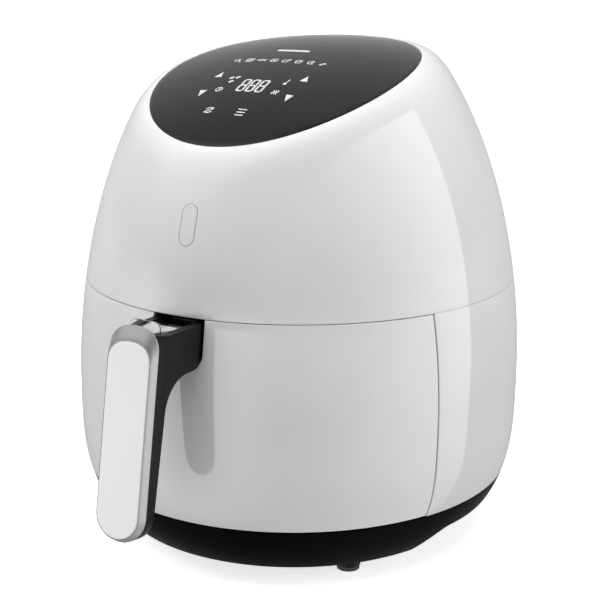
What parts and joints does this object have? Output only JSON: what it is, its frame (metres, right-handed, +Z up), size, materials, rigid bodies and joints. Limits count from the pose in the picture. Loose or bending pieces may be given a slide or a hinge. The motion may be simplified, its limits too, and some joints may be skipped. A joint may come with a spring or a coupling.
{
  "type": "air fryer",
  "caption": "Egg-shaped air fryer with a sloping glass touch panel, a pull-out pan drawer, a lift-out basket and a handle with a covered release button.",
  "frame": {"origin": "centre of the footprint (handle included) on the surface the feet stand on", "axes": "+Z up, the handle and drawer point to -Y, +X to the right when looking along +Y"},
  "size_m": [0.2996, 0.3816, 0.3297],
  "materials": {
    "white_shell": "semi-gloss moulded white plastic",
    "white_insert": "semi-gloss moulded white plastic",
    "black_plastic": "satin black moulded plastic",
    "grey_plastic": "matt dark grey plastic",
    "foot_rubber": "matt rubber",
    "panel_glass": "black back-printed glass with white touch symbols",
    "circuit_board": "solder-masked board",
    "sheet_steel": "zinc-coated sheet",
    "motor_steel": "laminated steel",
    "element_sheath": "oxidised steel sheath",
    "screw_steel": "bright zinc",
    "fan_aluminium": "pressed aluminium",
    "nonstick_coat": "black non-stick coating",
    "satin_silver": "satin silver paint",
    "white_plate": "satin white plastic",
    "button_grey": "satin light grey plastic",
    "clear_cover": "clear polycarbonate"
  },
  "bodies": {
    "housing": {"upper_shell": "white_shell", "rear_shell": "white_shell", "base_band": "black_plastic", "base_plate": "black_plastic", "feet": "black_plastic", "foot_pads": "foot_rubber", "base_screws": "screw_steel", "panel_glass": "panel_glass", "display_board": "circuit_board", "display_frame": "black_plastic", "pill_insert": "white_insert", "air_grille": "grey_plastic", "cord_gland": "black_plastic", "bay_ceiling": "black_plastic", "chamber_wall": "sheet_steel", "heating_coil": "element_sheath", "coil_clips": "sheet_steel", "heater_guard": "sheet_steel", "air_deflector": "sheet_steel", "motor_plate": "sheet_steel", "motor": "motor_steel", "motor_bolts": "screw_steel", "power_board": "circuit_board", "temperature_sensor": "screw_steel", "drawer_switch": "grey_plastic", "drawer_frame": "sheet_steel"},
    "fan_rotor": {"motor_shaft": "screw_steel", "hot_air_fan": "fan_aluminium", "cooling_fan": "fan_aluminium", "fan_nuts": "screw_steel"},
    "drawer": {"drawer_front": "white_shell", "drawer_top_plate": "grey_plastic", "drawer_bottom_plate": "grey_plastic", "pan": "nonstick_coat", "pan_catch": "sheet_steel", "pan_screws": "screw_steel"},
    "basket": {"basket": "nonstick_coat", "basket_bracket": "sheet_steel", "bracket_screws": "screw_steel", "handle_arm": "black_plastic", "handle_bezel": "satin_silver", "handle_plate": "white_plate", "button_springs": "screw_steel"},
    "release_button": {"release_button": "button_grey"},
    "latch_bolt": {"latch_bolt": "grey_plastic"},
    "button_cover": {"button_cover": "clear_cover"}
  },
  "joints": [
    {"name": "fan_spin", "type": "hinge", "parent": "housing", "child": "fan_rotor", "pos_m": [0, 0.0241, 0.25], "axis": [0, 0, 1], "continuous": true},
    {"name": "drawer_slide", "type": "slide", "parent": "housing", "child": "drawer", "axis": [0, -1, 0], "range_m": [0, 0.25]},
    {"name": "basket_lift", "type": "slide", "parent": "drawer", "child": "basket", "axis": [0, 0, 1], "range_m": [0, 0.002]},
    {"name": "button_press", "type": "slide", "parent": "basket", "child": "release_button", "axis": [0, 0, -1], "range_m": [0, 0.0035], "stiffness_N_per_m": 400, "springref_m": -0.004, "deforming": ["button_springs"]},
    {"name": "bolt_slide", "type": "slide", "parent": "basket", "child": "latch_bolt", "axis": [0, -1, 0], "range_m": [0, 0.0035]},
    {"name": "cover_slide", "type": "slide", "parent": "basket", "child": "button_cover", "axis": [0, 1, 0], "range_m": [0, 0.0168]}
  ],
  "couplings": [
    {"joint": "bolt_slide", "follows": "button_press", "ratio": 1}
  ]
}
